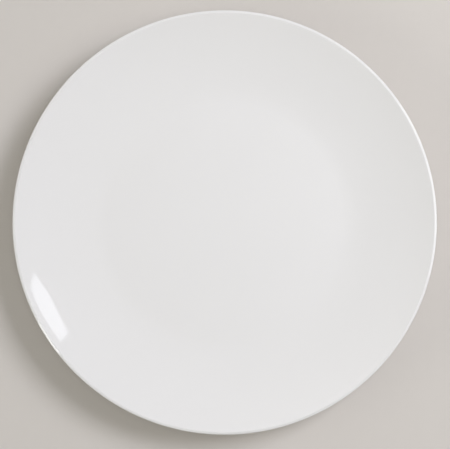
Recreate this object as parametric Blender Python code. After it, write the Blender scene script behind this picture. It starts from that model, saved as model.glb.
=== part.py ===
"""Salad plate: a white glazed china coupe plate, as its fired clay body and its two coats of glaze.

Metres, +Z up. The plate stands on z = 0 and its axis is the Z axis. Every piece is turned about that
axis from an outline of (radius, height) points that starts and ends on it.
"""

import math

import bpy
from mathutils import Vector

# The finished plate, over its glaze
PLATE_DIAMETER = 0.210
PLATE_HEIGHT = 0.0225

# The glaze
GLAZE_THICKNESS = 0.0003
GLAZE_GAP = 0.0003  # the bond line between the clay and its glaze
BARE_BAND_HEIGHT = 0.0013  # clay left bare above the table, wiped clean before the firing

# The clay body
WELL_DIAMETER = 0.119  # the flat of the well
WELL_THICKNESS = 0.0034
SHOULDER_RADIUS = 0.045  # the bend from the well into the wall
SHOULDER_TURN = math.radians(9.5)  # the wall's slope where it leaves that bend
WALL_THICKNESS = 0.0034  # at the shoulder, thinning evenly to the lip
LIP_THICKNESS = 0.0010

# The foot ring, turned from the same clay
FOOT_HEIGHT = 0.0050  # clearance from the table to the clay under the well
FOOT_SETOUT = 0.0010  # its centre line lies this far outside the flat of the well
FOOT_WIDTH = 0.0030  # between its flanks, at the table
FOOT_LEAN = math.radians(10)  # of each flank from upright, wider towards the clay
FOOT_EDGE_RADIUS = 0.0007
FOOT_FILLET_RADIUS = 0.0022

# How finely round stretches are drawn
TURNING_STEPS = 64
SHOULDER_STEPS = 3
WALL_STEPS = 6
LIP_STEPS = 6
FILLET_STEPS = 3
MERGE_DISTANCE = 0.00001

# The finishes: sRGB values and roughness
BISCUIT_COLOUR = (0.87, 0.84, 0.79)
BISCUIT_ROUGHNESS = 0.75
GLAZE_COLOUR = (0.90, 0.895, 0.885)
GLAZE_ROUGHNESS = 0.07

# What follows from the sizes above
COAT = GLAZE_GAP + GLAZE_THICKNESS
RIM_RADIUS = PLATE_DIAMETER / 2 - COAT
RIM_TOP = PLATE_HEIGHT - COAT
WELL_RADIUS = WELL_DIAMETER / 2
WELL_TOP = FOOT_HEIGHT + WELL_THICKNESS
LIP_RADIUS = LIP_THICKNESS / 2
FOOT_RADIUS = WELL_RADIUS + FOOT_SETOUT


def arc(start, end, heading, steps):
    """Stations (radius, height, heading) on the arc that leaves start at a heading and reaches end."""
    chord = math.dist(start, end)
    chord_heading = math.atan2(end[1] - start[1], end[0] - start[0])
    half_turn = math.remainder(chord_heading - heading, math.tau)
    stations = []
    for step in range(steps + 1):
        turned = half_turn * step / steps
        reach = chord * (math.sin(turned) / math.sin(half_turn) if half_turn else step / steps)
        radius = start[0] + reach * math.cos(heading + turned)
        height = start[1] + reach * math.sin(heading + turned)
        stations.append((radius, height, heading + 2 * turned))
    return stations


def points_of(stations):
    """The stations' places, without their headings."""
    return [station[:2] for station in stations]


def beside(station, distance):
    """The point at a distance to the left of a station, which is outwards on every outline here."""
    radius, height, heading = station
    return (radius - distance * math.sin(heading), height + distance * math.cos(heading))


def rounded(corners):
    """An outline through corners (radius, height, fillet), with each inner corner drawn as an arc."""
    places = [Vector(corner[:2]) for corner in corners]
    outline = [tuple(places[0])]
    for before, place, after, corner in zip(places, places[1:], places[2:], corners[1:]):
        into, onward = before - place, after - place
        half_angle = into.angle(onward) / 2
        longest = min(into.length, onward.length) / 2
        cut_back = min(corner[2] / math.tan(half_angle), longest)
        heading = math.atan2(-into.y, -into.x)
        start = place + into.normalized() * cut_back
        end = place + onward.normalized() * cut_back
        outline += points_of(arc(start, end, heading, FILLET_STEPS))
    return outline + [tuple(places[-1])]


def outset(outline, distance):
    """The outline moved outwards by a distance."""
    places = [Vector(point) for point in outline]
    edges = [(after - before).normalized() for before, after in zip(places, places[1:])]
    moved = []
    for place, arriving, leaving in zip(places, edges[:1] + edges, edges + edges[-1:]):
        along = (arriving + leaving).normalized()
        moved.append(tuple(place + distance * Vector((-along.y, along.x))))
    return moved


def foot_flank(height, side):
    """A point on the foot ring's outer (side 1) or inner (side -1) flank."""
    return (FOOT_RADIUS + side * (FOOT_WIDTH / 2 + height * math.tan(FOOT_LEAN)), height)


def face_outline():
    """The clay from the middle of the well, over the lip and down the back to the outer glaze line."""
    well_edge = (WELL_RADIUS, WELL_TOP)
    shoulder_rise = SHOULDER_RADIUS * (1 - math.cos(SHOULDER_TURN))
    shoulder_run = SHOULDER_RADIUS * math.sin(SHOULDER_TURN)
    shoulder_end = (WELL_RADIUS + shoulder_run, WELL_TOP + shoulder_rise)
    shoulder = arc(well_edge, shoulder_end, 0.0, SHOULDER_STEPS)

    # An arc half a lip's thickness inside the face ends at the centre of the round lip.
    lip_centre = (RIM_RADIUS - LIP_RADIUS, RIM_TOP - LIP_RADIUS)
    inside = arc(beside(shoulder[-1], -LIP_RADIUS), lip_centre, SHOULDER_TURN, WALL_STEPS)
    wall = [(*beside(station, LIP_RADIUS), station[2]) for station in inside]

    back = []
    for step, station in enumerate(wall):
        thickness = WALL_THICKNESS + (LIP_THICKNESS - WALL_THICKNESS) * step / WALL_STEPS
        back.append(beside(station, -thickness))
    lip = arc(wall[-1][:2], back[-1], wall[-1][2], LIP_STEPS)

    # The back runs on at the shoulder's slope until it meets the foot ring's outer flank.
    slope = math.tan(SHOULDER_TURN)
    back_radius, back_height = back[0]
    to_flank = back_radius - foot_flank(0, 1)[0]
    meeting = (back_height - slope * to_flank) / (1 - slope * math.tan(FOOT_LEAN))
    foot_root = rounded([
        (*back[0], 0),
        (*foot_flank(meeting, 1), FOOT_FILLET_RADIUS),
        (*foot_flank(BARE_BAND_HEIGHT, 1), 0),
    ])
    face = [(0.0, WELL_TOP)] + points_of(shoulder) + points_of(wall[1:])
    return face + points_of(lip[1:]) + back[-2:0:-1] + foot_root


def standing_edge_outline():
    """The bare clay round the foot ring's standing edge, from the outer glaze line to the inner one."""
    return rounded([
        (*foot_flank(BARE_BAND_HEIGHT, 1), 0),
        (*foot_flank(0, 1), FOOT_EDGE_RADIUS),
        (*foot_flank(0, -1), FOOT_EDGE_RADIUS),
        (*foot_flank(BARE_BAND_HEIGHT, -1), 0),
    ])


def recess_outline():
    """The clay inside the foot ring, from the inner glaze line to the middle of the underside."""
    return rounded([
        (*foot_flank(BARE_BAND_HEIGHT, -1), 0),
        (*foot_flank(FOOT_HEIGHT, -1), FOOT_FILLET_RADIUS),
        (0.0, FOOT_HEIGHT, 0),
    ])


def finish(name, colour, roughness):
    """A plain non-metal material."""
    material = bpy.data.materials.new(name)
    material.use_nodes = True
    shader = material.node_tree.nodes["Principled BSDF"]
    linear = [((value + 0.055) / 1.055) ** 2.4 for value in colour]
    shader.inputs["Base Color"].default_value = (*linear, 1.0)
    shader.inputs["Roughness"].default_value = roughness
    shader.inputs["Metallic"].default_value = 0.0
    return material


def turned_piece(name, outline, material, parent):
    """A solid of revolution about Z, from an outline that starts and ends on the axis."""
    mesh = bpy.data.meshes.new(name)
    points = [(radius, 0.0, height) for radius, height in outline]
    mesh.from_pydata(points, [(i, i + 1) for i in range(len(points) - 1)], [])
    mesh.materials.append(material)
    piece = bpy.data.objects.new(name, mesh)
    bpy.context.scene.collection.objects.link(piece)
    piece.parent = parent
    turning = piece.modifiers.new("turning", "SCREW")
    turning.axis = "Z"
    turning.steps = TURNING_STEPS
    turning.render_steps = TURNING_STEPS
    turning.use_merge_vertices = True
    turning.merge_threshold = MERGE_DISTANCE
    turning.use_smooth_shade = True
    return piece


def china_body(parent):
    """The fired clay: well, wall, lip and foot ring in one piece, bare only on its standing edge."""
    outline = face_outline() + standing_edge_outline()[1:] + recess_outline()[1:]
    biscuit = finish("biscuit_china", BISCUIT_COLOUR, BISCUIT_ROUGHNESS)
    return turned_piece("china_body", outline, biscuit, parent)


def face_glaze(parent):
    """The glass coat over the face, round the lip and down the back to the foot ring's outer flank."""
    clay = face_outline()
    outline = outset(clay, COAT) + outset(clay, GLAZE_GAP)[::-1]
    glaze = finish("white_glaze_face", GLAZE_COLOUR, GLAZE_ROUGHNESS)
    return turned_piece("face_glaze", outline, glaze, parent)


def foot_recess_glaze(parent):
    """The glass coat under the well, out to the foot ring's inner flank."""
    clay = recess_outline()
    outline = outset(clay, GLAZE_GAP)[::-1] + outset(clay, COAT)
    glaze = finish("white_glaze_recess", GLAZE_COLOUR, GLAZE_ROUGHNESS)
    return turned_piece("foot_recess_glaze", outline, glaze, parent)


def main():
    """Builds the plate in an emptied scene."""
    for item in list(bpy.data.objects):
        bpy.data.objects.remove(item)
    plate = bpy.data.objects.new("salad_plate", None)
    bpy.context.scene.collection.objects.link(plate)
    china_body(plate)
    face_glaze(plate)
    foot_recess_glaze(plate)


main()
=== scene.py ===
"""Salad plate: its fine turned surfaces, its glaze and its bare china, in a plain studio.

Metres, +Z up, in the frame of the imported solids. The plate stands on z = 0 with its axis on Z, and each
fine piece is turned about that axis and stands for the solid of the same place.
"""

import logging
import math
from dataclasses import dataclass, field
from enum import Enum
from itertools import pairwise
from typing import Any

import bpy
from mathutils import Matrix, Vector


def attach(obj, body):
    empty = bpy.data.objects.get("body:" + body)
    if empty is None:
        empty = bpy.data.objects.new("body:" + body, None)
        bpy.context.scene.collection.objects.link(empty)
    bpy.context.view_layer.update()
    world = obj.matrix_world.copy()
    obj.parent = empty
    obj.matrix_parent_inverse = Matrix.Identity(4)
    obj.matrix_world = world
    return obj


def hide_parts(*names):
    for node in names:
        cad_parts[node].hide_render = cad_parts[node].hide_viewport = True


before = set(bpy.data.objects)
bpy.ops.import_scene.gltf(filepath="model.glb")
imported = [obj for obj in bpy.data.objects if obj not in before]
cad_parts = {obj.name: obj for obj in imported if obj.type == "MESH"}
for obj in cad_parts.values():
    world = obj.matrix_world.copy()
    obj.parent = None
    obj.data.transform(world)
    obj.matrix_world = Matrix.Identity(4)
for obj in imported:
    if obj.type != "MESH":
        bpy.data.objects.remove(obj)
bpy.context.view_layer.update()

LOG = logging.getLogger("salad_plate")
MM = 0.001
BODY = "root"

Point = tuple[float, float]
Outline = list[Point]
# A socket's value, and the two values between which something fades in
Fade = tuple[bpy.types.NodeSocket, Point]

# The studio's whites and the even tone behind the plate
ROOM_WHITE = "#fffef7"
KEY_WHITE = "#f0f2ff"
CARD_WHITE = "#fffcf8"
BACKDROP = "#c8c3bc"

# Settings that several shader nodes share
PRODUCT = {"operation": "MULTIPLY"}
SMOOTH_FADE = {"interpolation_type": "SMOOTHSTEP"}
COLOUR_MIX = {"data_type": "RGBA"}

# A Mix node names its sockets alike for every kind of value, so those for colours go by their places.
SHARE, FIRST, SECOND, MIXED = 0, 6, 7, 2


class Solid(Enum):
    """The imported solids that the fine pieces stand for."""

    CLAY = "china_body"
    FACE = "face_glaze"
    RECESS = "foot_recess_glaze"


class Slot(Enum):
    """The record's finishes."""

    CLAY = "biscuit_china"
    FACE = "white_glaze_face"
    RECESS = "white_glaze_recess"


class Side(Enum):
    """The side of an outline that a coat of glaze lies on, seen along the outline."""

    LEFT = 1
    RIGHT = -1


# Colours and shader nodes


def linear(hex_colour: str) -> tuple[float, float, float, float]:
    """Turns an sRGB colour to linear light.

    Args:
        hex_colour: The colour as "#rrggbb".

    Returns:
        Linear red, green and blue, and full opacity.
    """
    parts = [int(hex_colour[i : i + 2], 16) / 255 for i in (1, 3, 5)]
    red, green, blue = (p / 12.92 if p <= 0.04045 else ((p + 0.055) / 1.055) ** 2.4 for p in parts)
    return (red, green, blue, 1.0)


def add_node(
    tree: bpy.types.NodeTree,
    kind: str,
    settings: dict[str, Any] | None = None,
    inputs: dict[str | int, Any] | None = None,
) -> bpy.types.Node:
    """Adds a shader node with its settings, socket values and links.

    Args:
        tree: The node tree to add it to.
        kind: The node's type without "ShaderNode", such as "TexNoise".
        settings: Values for the node's own properties.
        inputs: For each input socket, by name or place, a value or the output socket to link to it.

    Returns:
        The new node.
    """
    node = tree.nodes.new("ShaderNode" + kind)
    for name, value in (settings or {}).items():
        setattr(node, name, value)
    for name, value in (inputs or {}).items():
        if isinstance(value, bpy.types.NodeSocket):
            tree.links.new(value, node.inputs[name])
        else:
            node.inputs[name].default_value = value
    return node


def new_material(name: str) -> tuple[bpy.types.Material, bpy.types.NodeTree, bpy.types.Node]:
    """Makes a material with an empty node tree and a Principled shader.

    Args:
        name: The material's name.

    Returns:
        The material, its node tree and its shader.
    """
    material = bpy.data.materials.new(name)
    material.use_nodes = True
    tree = material.node_tree
    tree.nodes.clear()
    shader = add_node(tree, "BsdfPrincipled")
    add_node(tree, "OutputMaterial", inputs={"Surface": shader.outputs["BSDF"]})
    return material, tree, shader


def radius_of(tree: bpy.types.NodeTree, place: bpy.types.NodeSocket) -> bpy.types.NodeSocket:
    """Measures a point's distance from the plate's axis.

    Args:
        tree: The node tree.
        place: The socket that gives the point.

    Returns:
        The socket that gives the distance.
    """
    flat = add_node(tree, "VectorMath", PRODUCT, {0: place, 1: (1.0, 1.0, 0.0)})
    length = add_node(tree, "VectorMath", {"operation": "LENGTH"}, {0: flat.outputs["Vector"]})
    return length.outputs["Value"]


def seen_ray(tree: bpy.types.NodeTree) -> bpy.types.NodeSocket:
    """Tells a ray that the eye follows, straight or through a reflection, from one that only lights.

    Args:
        tree: The node tree.

    Returns:
        The socket that gives 1 for a ray that the eye follows.
    """
    path = add_node(tree, "LightPath")
    seen = path.outputs["Is Camera Ray"]
    for ray in ("Is Glossy Ray", "Is Transmission Ray"):
        either = add_node(tree, "Math", {"operation": "MAXIMUM"}, {0: seen, 1: path.outputs[ray]})
        seen = either.outputs[0]
    return seen


# Outlines of the plate


@dataclass(frozen=True)
class Station:
    """A place on a turned outline and the way that the outline runs there, as an angle.

    The outside of the plate is on the outline's left.
    """

    radius: float
    height: float
    heading: float

    def point(self) -> Point:
        """Gives the place alone."""
        return (self.radius, self.height)

    def beside(self, distance: float) -> Point:
        """Gives the point at a distance outwards, square to the outline."""
        out_radius = self.radius - distance * math.sin(self.heading)
        return (out_radius, self.height + distance * math.cos(self.heading))


def arc(start: Point, end: Point, heading: float, steps: int) -> list[Station]:
    """Draws the arc of a circle that leaves one point at a heading and reaches another.

    Args:
        start: The arc's first point.
        end: The arc's last point.
        heading: The way that the arc leaves its first point.
        steps: How many straight steps the arc has.

    Returns:
        The stations along the arc, both ends among them.
    """
    chord = math.dist(start, end)
    chord_heading = math.atan2(end[1] - start[1], end[0] - start[0])
    half_turn = math.remainder(chord_heading - heading, math.tau)
    stations = []
    for step in range(steps + 1):
        turned = half_turn * step / steps
        reach = chord * (math.sin(turned) / math.sin(half_turn) if half_turn else step / steps)
        radius = start[0] + reach * math.cos(heading + turned)
        height = start[1] + reach * math.sin(heading + turned)
        stations.append(Station(radius, height, heading + 2 * turned))
    return stations


def rounded(corners: list[tuple[float, float, float]], steps: int) -> Outline:
    """Draws an outline through corners, each inner one as an arc.

    Args:
        corners: Radius, height and fillet radius of each corner.
        steps: How many straight steps each arc has.

    Returns:
        The outline's points.
    """
    places = [Vector(corner[:2]) for corner in corners]
    outline = [tuple(places[0])]
    for before, place, after, corner in zip(places, places[1:], places[2:], corners[1:]):
        into, onward = before - place, after - place
        longest = min(into.length, onward.length) / 2
        cut_back = min(corner[2] / math.tan(into.angle(onward) / 2), longest)
        start = place + into.normalized() * cut_back
        end = place + onward.normalized() * cut_back
        heading = math.atan2(-into.y, -into.x)
        outline += [station.point() for station in arc(tuple(start), tuple(end), heading, steps)]
    return outline + [tuple(places[-1])]


def outset(outline: Outline, distance: float) -> Outline:
    """Moves an outline to its left.

    Args:
        outline: The outline's points.
        distance: How far it moves.

    Returns:
        The moved points.
    """
    places = [Vector(point) for point in outline]
    edges = [(after - before).normalized() for before, after in pairwise(places)]
    moved = []
    for place, arriving, leaving in zip(places, edges[:1] + edges, edges + edges[-1:]):
        along = (arriving + leaving).normalized()
        moved.append(tuple(place + distance * Vector((-along.y, along.x))))
    return moved


@dataclass(frozen=True)
class PlateShape:
    """The plate's sizes in metres and its clay outlines from them.

    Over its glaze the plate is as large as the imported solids. The clay here fills the bond line that the
    solids leave open, and the lip has the round crest and the outward bevel of a fettled edge.
    """

    diameter: float = 210 * MM
    height: float = 22.5 * MM
    coat: float = 0.3 * MM
    bare_band: float = 1.3 * MM
    well_radius: float = 59.5 * MM
    well_thickness: float = 4.0 * MM
    shoulder_radius: float = 45 * MM
    shoulder_turn: float = math.radians(9.5)
    wall_thickness: float = 4.0 * MM
    lip_crest: float = 0.4 * MM
    lip_bevel: float = math.radians(20)
    lip_width: float = 0.7 * MM
    lip_edge: float = 0.2 * MM
    foot_height: float = 4.7 * MM
    foot_setout: float = 1.0 * MM
    foot_width: float = 3.0 * MM
    foot_lean: float = math.radians(10)
    foot_edge: float = 0.7 * MM
    foot_fillet: float = 2.2 * MM
    shoulder_steps: int = 10
    wall_steps: int = 30
    lip_steps: int = 16
    fillet_steps: int = 8

    def foot_flank(self, height: float, side: int) -> Point:
        """Gives a point on the foot ring's outer (side 1) or inner (side -1) flank."""
        half_width = self.foot_width / 2 + height * math.tan(self.foot_lean)
        return (self.well_radius + self.foot_setout + side * half_width, height)

    def lip_middles(self) -> tuple[Point, Point]:
        """Places the lip's two rounds so that the bevel between them is square to both.

        Returns:
            The middles of the round crest and of the round edge.
        """
        edge_radius = self.diameter / 2 - self.coat - self.lip_edge
        crest = (edge_radius - self.lip_width, self.height - self.coat - self.lip_crest)
        fall = self.lip_width * math.tan(self.lip_bevel)
        growth = (self.lip_crest - self.lip_edge) / math.cos(self.lip_bevel)
        return crest, (edge_radius, crest[1] + growth - fall)

    def face(self) -> Outline:
        """Draws the clay from the middle of the well, over the lip and down the back to the glaze line.

        Returns:
            The outline, from the axis to the foot ring's outer flank.
        """
        well_top = self.foot_height + self.well_thickness
        rise = self.shoulder_radius * (1 - math.cos(self.shoulder_turn))
        run = self.shoulder_radius * math.sin(self.shoulder_turn)
        shoulder_end = (self.well_radius + run, well_top + rise)
        shoulder = arc((self.well_radius, well_top), shoulder_end, 0.0, self.shoulder_steps)

        # An arc that runs the crest's radius inside the face ends at the middle of the crest.
        crest, edge = self.lip_middles()
        inside = arc(shoulder[-1].beside(-self.lip_crest), crest, self.shoulder_turn, self.wall_steps)
        wall = [Station(*station.beside(self.lip_crest), station.heading) for station in inside]
        heading = wall[-1].heading
        crest_end = Station(*crest, -self.lip_bevel).beside(self.lip_crest)
        edge_start = Station(*edge, -self.lip_bevel).beside(self.lip_edge)
        edge_end = Station(*edge, heading).beside(-self.lip_edge)
        lip = arc(wall[-1].point(), crest_end, heading, self.lip_steps)
        lip += arc(edge_start, edge_end, -self.lip_bevel, self.lip_steps)
        across = Vector(wall[-1].point()) - Vector(edge_end)
        lip_thickness = across.dot(Vector((-math.sin(heading), math.cos(heading))))
        back = []
        for step, station in enumerate(wall):
            thinning = (self.wall_thickness - lip_thickness) * step / self.wall_steps
            back.append(station.beside(thinning - self.wall_thickness))

        # The back runs on at the shoulder's slope until it meets the foot ring's outer flank.
        slope = math.tan(self.shoulder_turn)
        to_flank = back[0][0] - self.foot_flank(0, 1)[0]
        meeting = (back[0][1] - slope * to_flank) / (1 - slope * math.tan(self.foot_lean))
        corners = [
            (*back[0], 0),
            (*self.foot_flank(meeting, 1), self.foot_fillet),
            (*self.foot_flank(self.bare_band, 1), 0),
        ]
        stations = shoulder + wall[1:] + lip[1:]
        face = [(0.0, well_top)] + [station.point() for station in stations]
        return face + back[:0:-1] + rounded(corners, self.fillet_steps)

    def standing_edge(self) -> Outline:
        """Draws the bare clay round the foot ring's standing edge.

        Returns:
            The outline, from the outer glaze line to the inner one.
        """
        corners = [
            (*self.foot_flank(self.bare_band, 1), 0),
            (*self.foot_flank(0, 1), self.foot_edge),
            (*self.foot_flank(0, -1), self.foot_edge),
            (*self.foot_flank(self.bare_band, -1), 0),
        ]
        return rounded(corners, self.fillet_steps)

    def recess(self) -> Outline:
        """Draws the clay inside the foot ring.

        Returns:
            The outline, from the inner glaze line to the axis.
        """
        corners = [
            (*self.foot_flank(self.bare_band, -1), 0),
            (*self.foot_flank(self.foot_height, -1), self.foot_fillet),
            (0.0, self.foot_height, 0),
        ]
        return rounded(corners, self.fillet_steps)


# Finishes


@dataclass(frozen=True)
class GlossGlaze:
    """Clear gloss glaze fired over white china: a hard, even, glassy white.

    The eye sees a sharp mirror of the lamps on a milky ground. The glass is a little uneven, so the edges
    of a reflection waver. It lies thick and cool where it pools at the foot ring.
    """

    name: str = "gloss_glaze_on_white_china"
    white: str = "#e5e4e4"
    cloud: str = "#e3e2e2"
    pooled: str = "#d9dddd"
    refraction: float = 1.5
    smooth: float = 0.028
    dull: float = 0.045
    cloud_size: float = 45 * MM
    dull_size: float = 9 * MM
    sag_size: float = 26 * MM
    sag_depth: float = 0.006 * MM
    peel_size: float = 2.2 * MM
    peel_depth: float = 0.0004 * MM
    relief_detail: float = 1.0
    pool_radius: float = 60.5 * MM
    pool_near: float = 1.8 * MM
    pool_far: float = 5.0 * MM
    pool_low: float = 5.0 * MM
    pool_high: float = 7.5 * MM

    def tone(self, tree: bpy.types.NodeTree, place: bpy.types.NodeSocket) -> bpy.types.NodeSocket:
        """Works out the glaze's colour.

        Args:
            tree: The material's node tree.
            place: The socket that gives the point on the plate.

        Returns:
            The socket that gives the colour.
        """
        cloud = add_node(tree, "TexNoise", inputs={"Vector": place, "Scale": 1 / self.cloud_size})
        clouded = add_node(
            tree,
            "Mix",
            COLOUR_MIX,
            {SHARE: cloud.outputs["Fac"], FIRST: linear(self.white), SECOND: linear(self.cloud)},
        )
        radius = radius_of(tree, place)
        height = add_node(tree, "SeparateXYZ", inputs={0: place}).outputs["Z"]
        from_foot = add_node(tree, "Math", {"operation": "SUBTRACT"}, {0: radius, 1: self.pool_radius})
        distance = add_node(tree, "Math", {"operation": "ABSOLUTE"}, {0: from_foot.outputs[0]})
        beside_foot = add_node(
            tree,
            "MapRange",
            SMOOTH_FADE,
            {"Value": distance.outputs[0], "From Min": self.pool_far, "From Max": self.pool_near},
        )
        under_well = add_node(
            tree,
            "MapRange",
            SMOOTH_FADE,
            {"Value": height, "From Min": self.pool_high, "From Max": self.pool_low},
        )
        pool = add_node(
            tree, "Math", PRODUCT, {0: beside_foot.outputs["Result"], 1: under_well.outputs["Result"]}
        )
        pooled = add_node(
            tree,
            "Mix",
            COLOUR_MIX,
            {SHARE: pool.outputs[0], FIRST: clouded.outputs[MIXED], SECOND: linear(self.pooled)},
        )
        return pooled.outputs[MIXED]

    def relief(self, tree: bpy.types.NodeTree, place: bpy.types.NodeSocket) -> bpy.types.NodeSocket:
        """Works out the glass's slow sags and its fine peel.

        Args:
            tree: The material's node tree.
            place: The socket that gives the point on the plate.

        Returns:
            The socket that gives the normal.
        """
        normal = None
        for size, depth in ((self.sag_size, self.sag_depth), (self.peel_size, self.peel_depth)):
            noise = add_node(
                tree,
                "TexNoise",
                inputs={"Vector": place, "Scale": 1 / size, "Detail": self.relief_detail},
            )
            bump = add_node(tree, "Bump", inputs={"Distance": depth, "Height": noise.outputs["Fac"]})
            if normal:
                tree.links.new(normal, bump.inputs["Normal"])
            normal = bump.outputs["Normal"]
        return normal

    def material(self) -> bpy.types.Material:
        """Makes the glaze's material.

        Returns:
            The new material.
        """
        material, tree, shader = new_material(self.name)
        place = add_node(tree, "TexCoord").outputs["Object"]
        patches = add_node(tree, "TexNoise", inputs={"Vector": place, "Scale": 1 / self.dull_size})
        gloss = add_node(
            tree,
            "MapRange",
            inputs={"Value": patches.outputs["Fac"], "To Min": self.smooth, "To Max": self.dull},
        )
        shader.inputs["IOR"].default_value = self.refraction
        tree.links.new(self.tone(tree, place), shader.inputs["Base Color"])
        tree.links.new(gloss.outputs["Result"], shader.inputs["Roughness"])
        tree.links.new(self.relief(tree, place), shader.inputs["Normal"])
        return material


@dataclass(frozen=True)
class BareChina:
    """Bare fired china, wiped clean of glaze and ground flat: a warm, dry, fine-grained white.

    The eye sees a chalky ring with the fine circles of the grinding, greyed on the flat that tables rub.
    """

    name: str = "bare_ground_china"
    clay: str = "#ded6c9"
    grit: str = "#cdc4b6"
    rubbed: str = "#b3aca2"
    roughness: float = 0.75
    refraction: float = 1.5
    grit_size: float = 0.5 * MM
    grit_depth: float = 0.02 * MM
    # Grinding lines are finer than this, and are drawn so coarse to show at all.
    ring_spacing: float = 0.3 * MM
    ring_depth: float = 0.012 * MM
    rub_height: float = 0.12 * MM
    rub_size: float = 4 * MM
    detail: float = 3.0

    def material(self) -> bpy.types.Material:
        """Makes the bare clay's material.

        Returns:
            The new material.
        """
        material, tree, shader = new_material(self.name)
        place = add_node(tree, "TexCoord").outputs["Object"]
        height = add_node(tree, "SeparateXYZ", inputs={0: place}).outputs["Z"]
        grit = add_node(
            tree, "TexNoise", inputs={"Vector": place, "Scale": 1 / self.grit_size, "Detail": self.detail}
        )
        patches = add_node(
            tree, "TexNoise", inputs={"Vector": place, "Scale": 1 / self.rub_size, "Detail": self.detail}
        )
        flat = add_node(
            tree,
            "MapRange",
            SMOOTH_FADE,
            {"Value": height, "From Min": self.rub_height, "From Max": 0.0},
        )
        rub = add_node(tree, "Math", PRODUCT, {0: flat.outputs["Result"], 1: patches.outputs["Fac"]})
        turns = add_node(
            tree, "Math", PRODUCT, {0: radius_of(tree, place), 1: math.tau / self.ring_spacing}
        )
        rings = add_node(tree, "Math", {"operation": "SINE"}, {0: turns.outputs[0]})
        grain = add_node(
            tree, "Bump", inputs={"Distance": self.grit_depth, "Height": grit.outputs["Fac"]}
        )
        ground = add_node(
            tree,
            "Bump",
            inputs={
                "Distance": self.ring_depth,
                "Height": rings.outputs[0],
                "Normal": grain.outputs["Normal"],
            },
        )
        chalk = add_node(
            tree,
            "Mix",
            COLOUR_MIX,
            {SHARE: grit.outputs["Fac"], FIRST: linear(self.clay), SECOND: linear(self.grit)},
        )
        worn = add_node(
            tree,
            "Mix",
            COLOUR_MIX,
            {SHARE: rub.outputs[0], FIRST: chalk.outputs[MIXED], SECOND: linear(self.rubbed)},
        )
        shader.inputs["Roughness"].default_value = self.roughness
        shader.inputs["IOR"].default_value = self.refraction
        tree.links.new(worn.outputs[MIXED], shader.inputs["Base Color"])
        tree.links.new(ground.outputs["Normal"], shader.inputs["Normal"])
        return material


@dataclass(frozen=True)
class SweepPaper:
    """Seamless background paper: a dull, warm, pale grey with a faint tooth."""

    name: str = "sweep_paper"
    paper: str = "#cfcac5"
    fibre: str = "#cdc8c3"
    roughness: float = 0.9
    specular: float = 0.1
    fibre_size: float = 6 * MM
    fibre_detail: float = 4.0
    tooth_size: float = 0.8 * MM
    tooth_depth: float = 0.01 * MM
    backdrop: str = BACKDROP
    fade_from: float = 0.25
    fade_to: float = 0.8

    def material(self) -> bpy.types.Material:
        """Makes the paper's material, which runs into the backdrop's even tone away from the plate.

        Returns:
            The new material.
        """
        material, tree, shader = new_material(self.name)
        place = add_node(tree, "TexCoord").outputs["Object"]
        fibre = add_node(
            tree,
            "TexNoise",
            inputs={"Vector": place, "Scale": 1 / self.fibre_size, "Detail": self.fibre_detail},
        )
        tooth = add_node(tree, "TexNoise", inputs={"Vector": place, "Scale": 1 / self.tooth_size})
        bump = add_node(
            tree, "Bump", inputs={"Distance": self.tooth_depth, "Height": tooth.outputs["Fac"]}
        )
        tone = add_node(
            tree,
            "Mix",
            COLOUR_MIX,
            {SHARE: fibre.outputs["Fac"], FIRST: linear(self.paper), SECOND: linear(self.fibre)},
        )
        shader.inputs["Roughness"].default_value = self.roughness
        shader.inputs["Specular IOR Level"].default_value = self.specular
        tree.links.new(tone.outputs[MIXED], shader.inputs["Base Color"])
        tree.links.new(bump.outputs["Normal"], shader.inputs["Normal"])
        far = add_node(
            tree,
            "MapRange",
            SMOOTH_FADE,
            {"Value": radius_of(tree, place), "From Min": self.fade_from, "From Max": self.fade_to},
        )
        share = add_node(tree, "Math", PRODUCT, {0: far.outputs["Result"], 1: seen_ray(tree)})
        even = add_node(tree, "Emission", inputs={"Color": linear(self.backdrop)})
        mixed = add_node(
            tree,
            "MixShader",
            inputs={0: share.outputs[0], 1: shader.outputs["BSDF"], 2: even.outputs["Emission"]},
        )
        output = tree.get_output_node("CYCLES")
        tree.links.new(mixed.outputs[0], output.inputs["Surface"])
        return material


# The plate's pieces


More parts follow.
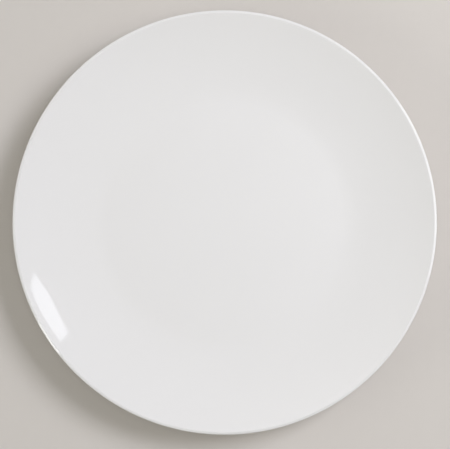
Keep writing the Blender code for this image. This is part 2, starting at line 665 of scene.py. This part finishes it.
@dataclass
class TurnedPiece:
    """A piece of the plate, turned about the axis from an outline that starts and ends on it."""

    name: str
    solid: Solid
    slot: Slot
    finish: GlossGlaze | BareChina
    shape: PlateShape = field(default_factory=PlateShape)
    segments: int = 256
    sharpest: float = math.radians(40)
    merge: float = 0.0001 * MM

    def outline(self) -> Outline:
        """Draws the piece's outline from axis to axis."""
        raise NotImplementedError

    def build(self) -> bpy.types.Object:
        """Models the piece ring by ring, from the disc in its middle to the pole behind it.

        Returns:
            The piece's object, at the origin.
        """
        _, disc, *rings, pole = self.outline()
        bpy.ops.object.select_all(action="DESELECT")
        bpy.ops.mesh.primitive_circle_add(
            vertices=self.segments, radius=disc[0], fill_type="TRIFAN", location=(0, 0, disc[1])
        )
        piece = bpy.context.object
        piece.name = piece.data.name = self.name
        bpy.ops.object.mode_set(mode="EDIT")
        bpy.ops.mesh.select_mode(type="EDGE")
        bpy.ops.mesh.select_all(action="DESELECT")
        bpy.ops.mesh.select_non_manifold()
        for (radius, height), (next_radius, next_height) in pairwise([disc, *rings]):
            rise = (0, 0, next_height - height)
            bpy.ops.mesh.extrude_edges_move(TRANSFORM_OT_translate={"value": rise})
            growth = next_radius / radius
            bpy.ops.transform.resize(value=(growth, growth, 1), center_override=(0, 0, 0))
        rise = (0, 0, pole[1] - rings[-1][1])
        bpy.ops.mesh.extrude_edges_move(TRANSFORM_OT_translate={"value": rise})
        bpy.ops.mesh.merge(type="CENTER")
        bpy.ops.mesh.select_all(action="SELECT")
        bpy.ops.mesh.remove_doubles(threshold=self.merge)
        bpy.ops.mesh.normals_make_consistent(inside=False)
        bpy.ops.object.mode_set(mode="OBJECT")
        bpy.ops.object.transform_apply(location=True, rotation=True, scale=True)
        bpy.ops.object.shade_smooth_by_angle(angle=self.sharpest)
        return piece

    def dress(self, piece: bpy.types.Object) -> None:
        """Gives the piece its finish."""
        piece.data.materials.clear()
        piece.data.materials.append(self.finish.material())

    def make(self) -> bpy.types.Object:
        """Builds and dresses the piece and puts it in its solid's place.

        Returns:
            The finished piece.
        """
        piece = self.build()
        self.dress(piece)
        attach(piece, BODY)
        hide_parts(self.solid.value)
        LOG.info("%s: %d faces for %s", piece.name, len(piece.data.polygons), self.solid.value)
        return piece


@dataclass
class FiredBody(TurnedPiece):
    """The fired clay: well, wall, lip and foot ring in one piece."""

    def outline(self) -> Outline:
        """Draws the clay all round."""
        return self.shape.face() + self.shape.standing_edge()[1:] + self.shape.recess()[1:]


@dataclass
class GlazeCoat(TurnedPiece):
    """A coat of glass fused to the clay, with a round edge where it was wiped back."""

    side: Side = Side.LEFT
    bond: float = 0.02 * MM
    edge_steps: int = 8

    def clay(self) -> Outline:
        """Draws the clay under the coat, from the axis to the coat's edge."""
        raise NotImplementedError

    def outline(self) -> Outline:
        """Draws the coat: its open surface, its round edge and the surface on the clay.

        Returns:
            The outline from axis to axis.
        """
        clay = self.clay()
        open_face = outset(clay, self.side.value * self.shape.coat)
        bonded_face = outset(clay, self.side.value * self.bond)
        before, last = open_face[-2:]
        heading = math.atan2(last[1] - before[1], last[0] - before[0])
        edge = arc(last, bonded_face[-1], heading, self.edge_steps)
        return open_face + [station.point() for station in edge[1:-1]] + bonded_face[::-1]


@dataclass
class FaceGlaze(GlazeCoat):
    """The glaze over the face, round the lip and down the back to the foot ring."""

    def clay(self) -> Outline:
        """Draws the clay's face, lip and back."""
        return self.shape.face()


@dataclass
class RecessGlaze(GlazeCoat):
    """The glaze under the well, inside the foot ring."""

    side: Side = Side.RIGHT

    def clay(self) -> Outline:
        """Draws the clay of the recess from the axis outwards."""
        return self.shape.recess()[::-1]


# The studio


@dataclass(frozen=True)
class Bearing:
    """A direction from the plate, in degrees, and a distance along it."""

    azimuth: float
    elevation: float
    distance: float

    def direction(self) -> Vector:
        """Works out the direction.

        Returns:
            The unit vector from the plate.
        """
        azimuth, elevation = math.radians(self.azimuth), math.radians(self.elevation)
        flat = math.cos(elevation)
        return Vector((flat * math.cos(azimuth), flat * math.sin(azimuth), math.sin(elevation)))

    def position(self) -> Vector:
        """Gives the place in the scene."""
        return self.direction() * self.distance


@dataclass(frozen=True)
class Softbox:
    """A soft rectangular lamp that faces the plate, seen by neither the camera nor the glaze."""

    name: str
    bearing: Bearing
    width: float
    height: float
    power: float
    colour: str = ROOM_WHITE

    def build(self) -> bpy.types.Object:
        """Hangs the lamp.

        Returns:
            The lamp's object.
        """
        light = bpy.data.lights.new(self.name, "AREA")
        light.shape = "RECTANGLE"
        light.size, light.size_y = self.width, self.height
        light.energy = self.power
        light.color = linear(self.colour)[:3]
        lamp = bpy.data.objects.new(self.name, light)
        lamp.location = self.bearing.position()
        lamp.rotation_euler = (-self.bearing.direction()).to_track_quat("-Z", "Y").to_euler()
        lamp.visible_camera = False
        lamp.visible_glossy = False
        bpy.context.scene.collection.objects.link(lamp)
        LOG.info("%s: %.2f W", self.name, self.power)
        return lamp


def oblong(width: float, height: float) -> tuple[Point, ...]:
    """Gives the corners of an oblong round its middle.

    Args:
        width: How far it reaches across.
        height: How far it reaches up.

    Returns:
        The four corners, in order.
    """
    across, up = width / 2, height / 2
    return ((-across, -up), (across, -up), (across, up), (-across, up))


@dataclass(frozen=True)
class MirrorCard:
    """The bright face of a lamp as the glaze mirrors it, dim enough that its image isn't blown out.

    It is seen only in reflections. Its corners are in millimetres across and up from its middle.
    """

    name: str
    bearing: Bearing
    corners: tuple[Point, ...]
    glow: float
    colour: str = CARD_WHITE
    # The sheet's side, in distances from the middle to the farthest corner
    sheet: float = 4.0

    def build(self) -> bpy.types.Object:
        """Cuts the card from a larger sheet and hangs it.

        Returns:
            The card's object.
        """
        corners = [Vector((*corner, 0)) * MM for corner in self.corners]
        bpy.ops.object.select_all(action="DESELECT")
        bpy.ops.mesh.primitive_plane_add(size=self.sheet * max(corner.length for corner in corners))
        card = bpy.context.object
        card.name = card.data.name = self.name
        bpy.ops.object.mode_set(mode="EDIT")
        for start, end in pairwise(corners + corners[:1]):
            outwards = (end - start).cross(Vector((0, 0, 1)))
            if outwards.dot(start) < 0:
                outwards.negate()
            bpy.ops.mesh.select_all(action="SELECT")
            bpy.ops.mesh.bisect(plane_co=start, plane_no=outwards, clear_outer=True)
        bpy.ops.object.mode_set(mode="OBJECT")
        card.location = self.bearing.position()
        card.rotation_euler = (-self.bearing.direction()).to_track_quat("-Z", "Y").to_euler()
        material, _, shader = new_material(self.name)
        shader.inputs["Base Color"].default_value = linear("#000000")
        shader.inputs["Emission Color"].default_value = linear(self.colour)
        shader.inputs["Emission Strength"].default_value = self.glow
        shader.inputs["Specular IOR Level"].default_value = 0.0
        card.data.materials.append(material)
        card.visible_camera = card.visible_diffuse = card.visible_shadow = False
        LOG.info("%s: hung", self.name)
        return card


@dataclass(frozen=True)
class Sweep:
    """The paper that the plate stands on."""

    name: str = "paper_sweep"
    side: float = 4.0
    finish: SweepPaper = SweepPaper()

    def build(self) -> bpy.types.Object:
        """Lays the paper.

        Returns:
            The paper's object.
        """
        bpy.ops.object.select_all(action="DESELECT")
        bpy.ops.mesh.primitive_plane_add(size=self.side)
        paper = bpy.context.object
        paper.name = paper.data.name = self.name
        paper.data.materials.append(self.finish.material())
        LOG.info("%s: laid", self.name)
        return paper


@dataclass(frozen=True)
class Surround:
    """The even light of a white room, and the paper's tone behind the plate.

    The glaze mirrors a lighter wall of the room on its left, and a ring of soft lamps low round the table.
    Both fade out at their edges, over parts of a direction along +Z or +X, or over the cosine of a turn.
    """

    name: str = "white_room"
    light: str = ROOM_WHITE
    strength: float = 0.308
    backdrop: str = BACKDROP
    mirrored: str = CARD_WHITE
    wall_glow: float = 1.8
    wall_top: Point = (1.03, 0.62)
    wall_foot: Point = (0.3, 0.6)
    wall_side: Point = (0.35, -0.5)
    lamps: int = 8
    lamps_turn: float = math.radians(3.5)
    lamps_glow: float = 1.3
    lamps_side: Point = (0.86, 0.93)
    lamps_foot: Point = (0.05, 0.15)
    lamps_top: Point = (0.6, 0.45)

    def build(self) -> bpy.types.World:
        """Lights the scene from all round.

        Returns:
            The new world.
        """
        world = bpy.data.worlds.new(self.name)
        world.use_nodes = True
        tree = world.node_tree
        tree.nodes.clear()
        room = add_node(
            tree, "Background", inputs={"Color": linear(self.light), "Strength": self.strength}
        )
        behind = add_node(tree, "Background", inputs={"Color": linear(self.backdrop)})
        around = add_node(
            tree, "MixShader", inputs={0: seen_ray(tree), 1: room.outputs[0], 2: behind.outputs[0]}
        )
        glossy = add_node(tree, "LightPath").outputs["Is Glossy Ray"]
        for glow, fades in ((self.wall_glow, self.wall(tree)), (self.lamps_glow, self.low_lamps(tree))):
            share = glossy
            for value, (start, end) in fades:
                fade = add_node(
                    tree, "MapRange", SMOOTH_FADE, {"Value": value, "From Min": start, "From Max": end}
                )
                faded = add_node(tree, "Math", PRODUCT, {0: share, 1: fade.outputs["Result"]})
                share = faded.outputs[0]
            bright = add_node(
                tree, "Background", inputs={"Color": linear(self.mirrored), "Strength": glow}
            )
            around = add_node(
                tree, "MixShader", inputs={0: share, 1: around.outputs[0], 2: bright.outputs[0]}
            )
        add_node(tree, "OutputWorld", inputs={"Surface": around.outputs[0]})
        bpy.context.scene.world = world
        return world

    def axes(self, tree: bpy.types.NodeTree) -> bpy.types.NodeOutputs:
        """Gives the parts of a ray's direction along each axis."""
        direction = add_node(tree, "TexCoord").outputs["Generated"]
        return add_node(tree, "SeparateXYZ", inputs={0: direction}).outputs

    def wall(self, tree: bpy.types.NodeTree) -> list[Fade]:
        """Draws the lighter wall on the left by its edges."""
        axes = self.axes(tree)
        return [(axes["Z"], self.wall_top), (axes["Z"], self.wall_foot), (axes["X"], self.wall_side)]

    def low_lamps(self, tree: bpy.types.NodeTree) -> list[Fade]:
        """Draws the lamps round the table by their edges.

        Args:
            tree: The world's node tree.

        Returns:
            What the lamps fade over: the cosine of the turn from a lamp, and the height.
        """
        axes = self.axes(tree)
        turn = add_node(tree, "Math", {"operation": "ARCTAN2"}, {0: axes["Y"], 1: axes["X"]})
        from_lamp = add_node(
            tree,
            "Math",
            {"operation": "MULTIPLY_ADD"},
            {0: turn.outputs[0], 1: self.lamps, 2: -self.lamps * self.lamps_turn},
        )
        wave = add_node(tree, "Math", {"operation": "COSINE"}, {0: from_lamp.outputs[0]})
        return [
            (wave.outputs[0], self.lamps_side),
            (axes["Z"], self.lamps_foot),
            (axes["Z"], self.lamps_top),
        ]


@dataclass(frozen=True)
class OverheadCamera:
    """The camera, straight above the plate with +Y up in the picture."""

    name: str = "overhead_camera"
    height: float = 0.62
    across: float = 0.17 * MM
    up: float = -0.99 * MM
    lens: float = 96.72
    sensor: float = 36.0
    nearest: float = 10 * MM

    def build(self) -> bpy.types.Object:
        """Sets up the camera and makes it the scene's.

        Returns:
            The camera's object.
        """
        data = bpy.data.cameras.new(self.name)
        data.sensor_fit = "HORIZONTAL"
        data.sensor_width = self.sensor
        data.lens = self.lens
        data.clip_start = self.nearest
        camera = bpy.data.objects.new(self.name, data)
        camera.location = (self.across, self.up, self.height)
        bpy.context.scene.collection.objects.link(camera)
        bpy.context.scene.camera = camera
        return camera


@dataclass(frozen=True)
class Studio:
    """The paper, the lamps, the room and the camera."""

    lamps: tuple[Softbox, ...] = (
        Softbox(
            "key_softbox",
            Bearing(azimuth=30, elevation=50, distance=1.4),
            width=0.595,
            height=0.494,
            power=9.5,
            colour=KEY_WHITE,
        ),
        Softbox(
            "right_fill",
            Bearing(azimuth=20, elevation=48, distance=0.65),
            width=0.35,
            height=0.3,
            power=0.99,
        ),
        Softbox(
            "left_fill",
            Bearing(azimuth=195, elevation=30, distance=0.9),
            width=0.5,
            height=0.4,
            power=1.41,
        ),
        Softbox(
            "top_fill",
            Bearing(azimuth=90, elevation=89, distance=1.2),
            width=0.5,
            height=0.5,
            power=2.04,
        ),
    )
    cards: tuple[MirrorCard, ...] = (
        MirrorCard(
            "key_in_the_glaze",
            Bearing(azimuth=25.9, elevation=53.8, distance=0.855),
            corners=((-98, 0), (-71, -62), (0, -62), (98, -47), (78, 40), (-23, 48)),
            glow=4.5,
            colour="#f6f8ff",
        ),
        MirrorCard(
            "right_fill_in_the_lip",
            Bearing(azimuth=10, elevation=37, distance=1.0),
            corners=oblong(width=710, height=200),
            glow=3.0,
        ),
        MirrorCard(
            "left_fill_in_the_lip",
            Bearing(azimuth=213, elevation=37, distance=1.0),
            corners=oblong(width=150, height=200),
            glow=9.2,
        ),
    )
    paper: Sweep = Sweep()
    room: Surround = Surround()
    camera: OverheadCamera = OverheadCamera()

    def build(self) -> None:
        """Sets up the studio round the plate."""
        self.paper.build()
        self.room.build()
        for light in self.lamps + self.cards:
            light.build()
        self.camera.build()
        bpy.context.scene.view_settings.view_transform = "Standard"


def main() -> None:
    """Builds the plate and the studio round it."""
    logging.basicConfig(level=logging.INFO, format="%(name)s: %(message)s")
    FiredBody("fired_china", Solid.CLAY, Slot.CLAY, BareChina()).make()
    glaze = GlossGlaze()
    FaceGlaze("glaze_over_face", Solid.FACE, Slot.FACE, glaze).make()
    RecessGlaze("glaze_in_recess", Solid.RECESS, Slot.RECESS, glaze).make()
    Studio().build()


if __name__ == "__main__":
    main()
